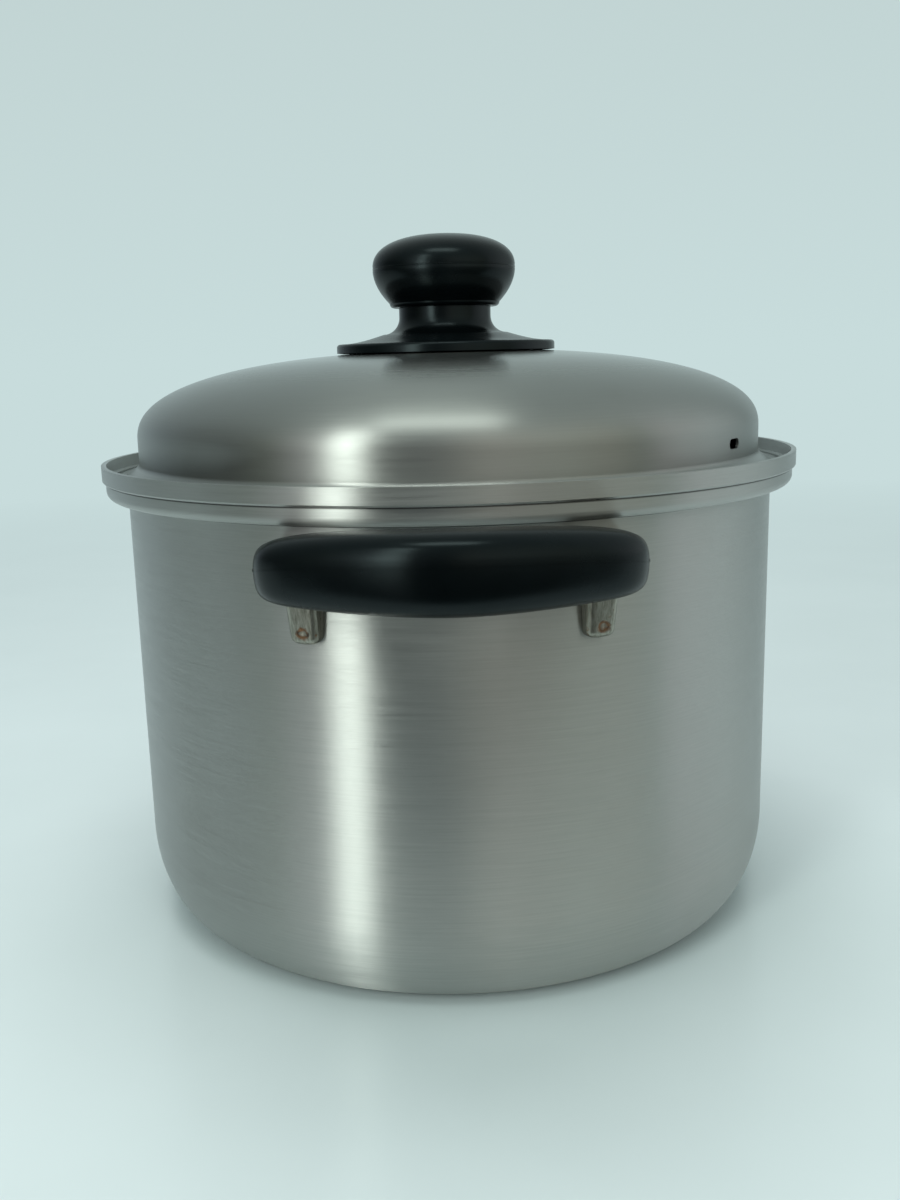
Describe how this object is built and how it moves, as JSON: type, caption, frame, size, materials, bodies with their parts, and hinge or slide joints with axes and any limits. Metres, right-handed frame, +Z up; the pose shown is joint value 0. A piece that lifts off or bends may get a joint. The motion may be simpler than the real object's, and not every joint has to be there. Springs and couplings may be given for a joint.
{
  "type": "water bath canner",
  "caption": "Small water bath canner: straight steel pot with stepped rim, domed lid with screwed knob, loop handles on welded brackets and a wire jar rack inside.",
  "frame": {"origin": "centre of the pot's flat base, on the surface it stands on", "axes": "+Z up along the pot's axis, handles at -Y (front) and +Y (rear), +X to the right seen from the front"},
  "size_m": [0.2574, 0.318, 0.2487],
  "materials": {
    "body_steel": "brushed stainless steel, fine lines round the body",
    "lid_steel": "satin stainless steel, fine circular lines",
    "bracket_steel": "pressed stainless steel with a dished spot weld",
    "phenolic": "black phenolic, semi-gloss moulded skin",
    "screw_steel": "bright zinc plated steel",
    "insert_brass": "turned brass",
    "rack_wire": "bright drawn stainless wire"
  },
  "bodies": {
    "pot": {"pot_body": "body_steel", "front_handle": "phenolic", "front_bracket_left": "bracket_steel", "front_bracket_right": "bracket_steel", "front_handle_screw_left": "screw_steel", "front_handle_screw_right": "screw_steel", "front_spring_washer_left": "screw_steel", "front_spring_washer_right": "screw_steel", "front_handle_insert_left": "insert_brass", "front_handle_insert_right": "insert_brass", "rear_handle": "phenolic", "rear_bracket_left": "bracket_steel", "rear_bracket_right": "bracket_steel", "rear_handle_screw_left": "screw_steel", "rear_handle_screw_right": "screw_steel", "rear_spring_washer_left": "screw_steel", "rear_spring_washer_right": "screw_steel", "rear_handle_insert_left": "insert_brass", "rear_handle_insert_right": "insert_brass"},
    "lid": {"lid_shell": "lid_steel", "knob_grip": "phenolic", "knob_collar": "phenolic", "knob_insert": "insert_brass", "knob_screw": "screw_steel", "knob_washer": "screw_steel"},
    "rack": {"rack_ring": "rack_wire", "rack_rod_1": "rack_wire", "rack_rod_2": "rack_wire", "rack_rod_3": "rack_wire", "rack_rod_4": "rack_wire", "rack_rod_5": "rack_wire", "rack_rod_6": "rack_wire", "rack_rod_7": "rack_wire", "rack_rod_8": "rack_wire", "rack_rod_9": "rack_wire", "rack_foot_bar_left": "rack_wire", "rack_foot_bar_right": "rack_wire"}
  },
  "joints": [
    {"name": "lid_lift", "type": "slide", "parent": "pot", "child": "lid", "axis": [0, 0, 1], "range_m": [0, 0.15]},
    {"name": "rack_lift", "type": "slide", "parent": "pot", "child": "rack", "axis": [0, 0, 1], "range_m": [0, 0.14]}
  ]
}
